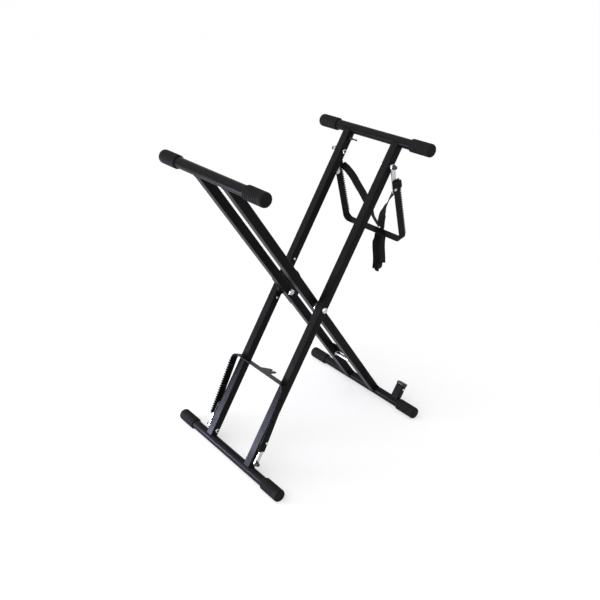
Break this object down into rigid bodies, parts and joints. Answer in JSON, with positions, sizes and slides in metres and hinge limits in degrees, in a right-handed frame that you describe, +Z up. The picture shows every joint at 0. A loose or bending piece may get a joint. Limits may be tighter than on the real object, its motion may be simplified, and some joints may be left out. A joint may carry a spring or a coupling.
{
  "type": "folding keyboard stand",
  "caption": "Folding X-shaped tube stand for a keyboard: two crossed square-tube frames on a bolted pivot, capped cross bars, and hinged toothed U racks with a webbing strap.",
  "frame": {"origin": "on the floor, under the middle of the stand's box", "axes": "+Z up, +Y along the cross bars towards the side with the stop disc, +X towards the hanging upper rack"},
  "size_m": [0.6105, 0.476, 0.8728],
  "materials": {
    "black_steel": "satin black powder coat",
    "black_bolt": "black zinc",
    "rubber_cap": "matte black moulded rubber with fine ribs",
    "black_plastic": "glossy black",
    "zinc": "bright zinc plate",
    "webbing": "woven black webbing"
  },
  "bodies": {
    "outer_frame": {"outer_tube_far": "black_steel", "outer_tube_near": "black_steel", "outer_top_bar": "black_steel", "outer_top_cap_far": "rubber_cap", "outer_top_cap_near": "rubber_cap", "outer_foot_bar": "black_steel", "outer_foot_cap_far": "rubber_cap", "outer_foot_cap_near": "rubber_cap", "pivot_bolt_far": "zinc", "pivot_nut_far": "zinc", "pivot_bolt_near": "zinc", "pivot_washer_near": "zinc", "pivot_nut_near": "zinc", "stop_bolt": "black_steel", "tube_rivet_upper": "zinc", "tube_rivet_lower": "zinc", "cable_peg": "black_plastic", "lower_hinge_bolt_far": "black_bolt", "lower_hinge_bolt_near": "black_bolt", "lower_hinge_spacer_far": "zinc", "lower_hinge_spacer_near": "zinc", "lower_hinge_nut_far": "zinc", "lower_hinge_nut_near": "zinc", "upper_hinge_bolt_far": "black_bolt", "upper_hinge_bolt_near": "black_bolt", "upper_hinge_spacer_far": "zinc", "upper_hinge_spacer_near": "zinc", "upper_hinge_nut_far": "zinc", "upper_hinge_nut_near": "zinc"},
    "inner_frame": {"inner_tube_far": "black_steel", "inner_tube_near": "black_steel", "inner_top_bar": "black_steel", "inner_top_cap_far": "rubber_cap", "inner_top_cap_near": "rubber_cap", "inner_foot_bar": "black_steel", "inner_foot_cap_far": "rubber_cap", "inner_foot_cap_near": "rubber_cap", "stop_disc": "black_steel", "tie_plate": "black_steel", "tie_bolt": "zinc", "rest_stub": "black_steel", "rest_stub_plug": "black_plastic", "rest_stub_screw": "zinc"},
    "upper_rack": {"upper_rack": "black_steel", "upper_link_far": "zinc", "upper_link_near": "zinc", "upper_rivet_far": "zinc", "upper_rivet_near": "zinc", "strap_far": "webbing", "strap_near": "webbing", "strap_bundle": "webbing"},
    "lower_rack": {"lower_rack": "black_steel", "lower_link_far": "zinc", "lower_link_near": "zinc", "lower_rivet_far": "zinc", "lower_rivet_near": "zinc"}
  },
  "joints": [
    {"name": "fold", "type": "hinge", "parent": "outer_frame", "child": "inner_frame", "pos_m": [-0.0134, 0, 0.43638], "axis": [0, 1, 0], "range_deg": [0, 62]},
    {"name": "upper_rack_swing", "type": "hinge", "parent": "outer_frame", "child": "upper_rack", "pos_m": [0.22205, 0, 0.79619], "axis": [0, -1, 0], "range_deg": [-41, 75]},
    {"name": "lower_rack_swing", "type": "hinge", "parent": "outer_frame", "child": "lower_rack", "pos_m": [-0.27185, 0, 0.04143], "axis": [0, -1, 0], "range_deg": [0, 117]}
  ]
}
